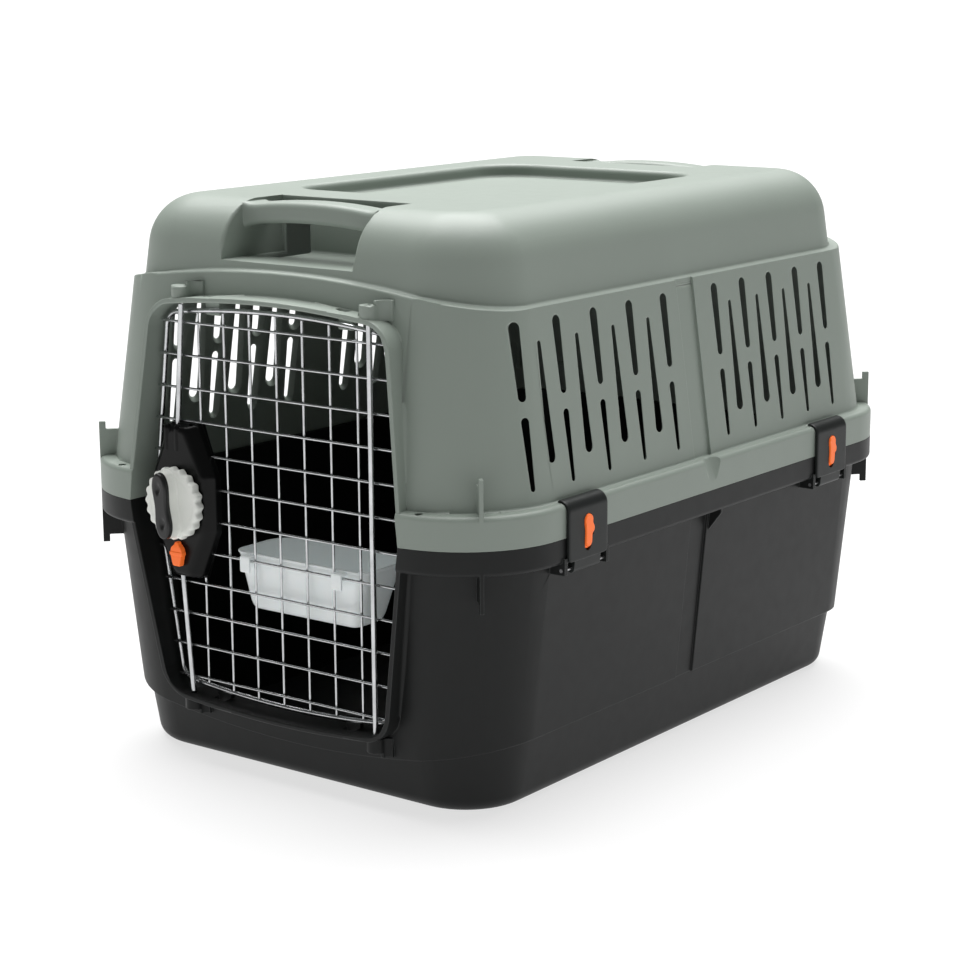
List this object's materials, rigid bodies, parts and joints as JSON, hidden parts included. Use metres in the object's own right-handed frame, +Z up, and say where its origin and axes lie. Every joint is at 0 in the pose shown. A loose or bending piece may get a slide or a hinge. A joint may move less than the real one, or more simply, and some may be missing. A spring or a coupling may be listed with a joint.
{
  "type": "pet carrier",
  "caption": "Plastic pet carrier of two clipped shells with side vents, a top tray, carrying handles and a hinged wire door with a knob latch and a hung bowl.",
  "frame": {"origin": "middle of the flat base", "axes": "+Z up, the wire door faces -Y, +X to the right as seen from the door"},
  "size_m": [0.5082, 0.7098, 0.508],
  "materials": {
    "shell_upper": "satin sage grey-green, finely grained",
    "shell_lower": "satin charcoal, finely grained",
    "wire": "bright zinc plate",
    "screw": "zinc plate",
    "housing": "satin black",
    "knob": "light grey",
    "grip": "satin black",
    "clip": "satin dark grey",
    "accent": "orange",
    "bowl": "milky translucent"
  },
  "bodies": {
    "shell": {"lower_shell": "shell_lower", "upper_shell": "shell_upper", "clip_pin_front_left": "screw", "clip_pin_front_right": "screw", "clip_pin_rear_left": "screw", "clip_pin_rear_right": "screw"},
    "door": {"door_frame": "wire", "door_vertical_wires": "wire", "door_horizontal_wires": "wire", "hinge_rod": "wire", "latch_housing_front": "housing", "latch_housing_back": "housing", "housing_screws": "screw"},
    "knob": {"knob_disc": "knob", "knob_grip": "grip", "latch_pinion": "knob"},
    "upper_rod": {"latch_rod_upper": "wire"},
    "lower_rod": {"latch_rod_lower": "wire"},
    "catch": {"safety_catch": "accent"},
    "bowl": {"bowl": "bowl"},
    "clip_front_left": {"clip_front_left": "clip"},
    "key_front_left": {"clip_key_front_left": "accent"},
    "clip_front_right": {"clip_front_right": "clip"},
    "key_front_right": {"clip_key_front_right": "accent"},
    "clip_rear_left": {"clip_rear_left": "clip"},
    "key_rear_left": {"clip_key_rear_left": "accent"},
    "clip_rear_right": {"clip_rear_right": "clip"},
    "key_rear_right": {"clip_key_rear_right": "accent"}
  },
  "joints": [
    {"name": "door_hinge", "type": "hinge", "parent": "shell", "child": "door", "pos_m": [0.11, -0.3275, 0.241], "axis": [0, 0, 1], "range_deg": [0, 130]},
    {"name": "knob_turn", "type": "hinge", "parent": "door", "child": "knob", "pos_m": [-0.106, -0.3275, 0.243], "axis": [0, 1, 0], "range_deg": [0, 90]},
    {"name": "upper_rod_slide", "type": "slide", "parent": "door", "child": "upper_rod", "axis": [0.0785, 0, 0.9969], "range_m": [0, 0.0127]},
    {"name": "lower_rod_slide", "type": "slide", "parent": "door", "child": "lower_rod", "axis": [0.0785, 0, -0.9969], "range_m": [0, 0.0127]},
    {"name": "catch_slide", "type": "slide", "parent": "door", "child": "catch", "axis": [0, 0, 1], "range_m": [0, 0.0022]},
    {"name": "bowl_lift", "type": "slide", "parent": "door", "child": "bowl", "axis": [0, 0, 1], "range_m": [0, 0.018]},
    {"name": "clip_front_left_hinge", "type": "hinge", "parent": "shell", "child": "clip_front_left", "pos_m": [-0.246, -0.214, 0.2135], "axis": [0, -1, 0], "range_deg": [0, 100]},
    {"name": "key_front_left_slide", "type": "slide", "parent": "clip_front_left", "child": "key_front_left", "axis": [0, 0, -1], "range_m": [0, 0.0025]},
    {"name": "clip_front_right_hinge", "type": "hinge", "parent": "shell", "child": "clip_front_right", "pos_m": [0.246, -0.214, 0.2135], "axis": [0, 1, 0], "range_deg": [0, 100]},
    {"name": "key_front_right_slide", "type": "slide", "parent": "clip_front_right", "child": "key_front_right", "axis": [0, 0, -1], "range_m": [0, 0.0025]},
    {"name": "clip_rear_left_hinge", "type": "hinge", "parent": "shell", "child": "clip_rear_left", "pos_m": [-0.246, 0.201, 0.2135], "axis": [0, -1, 0], "range_deg": [0, 100]},
    {"name": "key_rear_left_slide", "type": "slide", "parent": "clip_rear_left", "child": "key_rear_left", "axis": [0, 0, -1], "range_m": [0, 0.0025]},
    {"name": "clip_rear_right_hinge", "type": "hinge", "parent": "shell", "child": "clip_rear_right", "pos_m": [0.246, 0.201, 0.2135], "axis": [0, 1, 0], "range_deg": [0, 100]},
    {"name": "key_rear_right_slide", "type": "slide", "parent": "clip_rear_right", "child": "key_rear_right", "axis": [0, 0, -1], "range_m": [0, 0.0025]}
  ],
  "couplings": [
    {"joint": "upper_rod_slide", "follows": "knob_turn", "m_per_rad": 0.008},
    {"joint": "lower_rod_slide", "follows": "knob_turn", "m_per_rad": 0.008}
  ]
}
